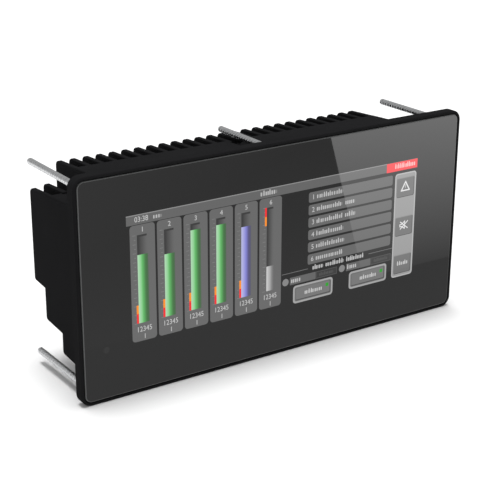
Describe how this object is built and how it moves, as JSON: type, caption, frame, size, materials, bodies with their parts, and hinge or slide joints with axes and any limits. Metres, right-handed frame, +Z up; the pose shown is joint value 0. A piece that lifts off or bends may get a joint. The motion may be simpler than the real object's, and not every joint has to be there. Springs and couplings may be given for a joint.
{
  "type": "panel-mount touch display",
  "caption": "Wide flush-mount touch display: glass front in a black metal frame, deep finned rear housing with stepped underside, long mounting studs.",
  "frame": {"origin": "middle of the console cut-out, in the plane of the console's front surface, against which the frame's rear face rests", "axes": "+X to the right seen from the front, +Y into the console, away from the viewer, +Z up"},
  "size_m": [0.27, 0.0763, 0.132],
  "materials": {
    "zinc_steel": "bright zinc plated",
    "anodised_black": "black anodised, fine satin",
    "black_rubber": "matt moulded rubber",
    "cover_glass": "polished glass, printed black behind",
    "foam_tape": "black acrylic foam tape",
    "sensor_film": "clear laminated film",
    "lcd_glass": "polished display glass",
    "white_plastic": "moulded white plastic",
    "sheet_steel": "plain rolled sheet",
    "clear_plastic": "clear lens",
    "cast_black": "die-cast, black powder coat",
    "black_steel": "black oxide",
    "board_green": "green solder mask",
    "black_plastic": "moulded black plastic",
    "pad_pink": "soft silicone pad",
    "flat_cable": "polyester ribbon",
    "green_plastic": "moulded green plastic",
    "red_plastic": "moulded red plastic"
  },
  "bodies": {
    "panel": {"mounting_stud_top_left": "zinc_steel", "mounting_stud_top_middle": "zinc_steel", "mounting_stud_top_right": "zinc_steel", "mounting_stud_bottom_left": "zinc_steel", "mounting_stud_bottom_middle": "zinc_steel", "mounting_stud_bottom_right": "zinc_steel", "front_frame": "anodised_black", "panel_gasket": "black_rubber", "housing_seal": "black_rubber", "cover_glass": "cover_glass", "glass_tape": "foam_tape", "touch_sensor": "sensor_film", "lcd_panel": "lcd_glass", "backlight_unit": "white_plastic", "display_back_plate": "sheet_steel", "network_jack_1": "sheet_steel", "network_jack_2": "sheet_steel", "usb_socket": "sheet_steel", "back_plate_screw_1": "zinc_steel", "back_plate_screw_2": "zinc_steel", "back_plate_screw_3": "zinc_steel", "back_plate_screw_4": "zinc_steel", "light_sensor": "clear_plastic", "rear_housing": "cast_black", "housing_screw_1": "black_steel", "housing_screw_2": "black_steel", "housing_screw_3": "black_steel", "housing_screw_4": "black_steel", "housing_screw_5": "black_steel", "housing_screw_6": "black_steel", "housing_screw_7": "black_steel", "housing_screw_8": "black_steel", "main_board": "board_green", "board_screw_1": "zinc_steel", "board_screw_2": "zinc_steel", "board_screw_3": "zinc_steel", "board_screw_4": "zinc_steel", "processor": "black_plastic", "cell_holder": "black_plastic", "buzzer": "black_plastic", "usb_hinge_lug_left": "black_plastic", "usb_hinge_lug_right": "black_plastic", "reset_switch": "black_plastic", "termination_switch": "black_plastic", "pressure_vent": "black_plastic", "thermal_pad": "pad_pink", "backup_cell": "zinc_steel", "usb_hinge_pin": "zinc_steel", "earth_screw": "zinc_steel", "display_cable": "flat_cable", "touch_cable": "flat_cable", "power_header": "green_plastic", "alarm_header": "green_plastic", "bus_header_1": "green_plastic", "bus_header_2": "green_plastic"},
    "usb_door": {"usb_cover": "black_rubber"},
    "reset_key": {"reset_button": "red_plastic"},
    "termination_key": {"termination_slider": "white_plastic"}
  },
  "joints": [
    {"name": "usb_cover_hinge", "type": "hinge", "parent": "panel", "child": "usb_door", "pos_m": [0.067, 0.0292, -0.0549], "axis": [1, 0, 0], "range_deg": [0, 110]},
    {"name": "reset_press", "type": "slide", "parent": "panel", "child": "reset_key", "axis": [0, 0, 1], "range_m": [0, 0.0012], "stiffness_N_per_m": 500, "springref_m": -0.001},
    {"name": "termination_slide", "type": "slide", "parent": "panel", "child": "termination_key", "axis": [1, 0, 0], "range_m": [0, 0.003]}
  ]
}
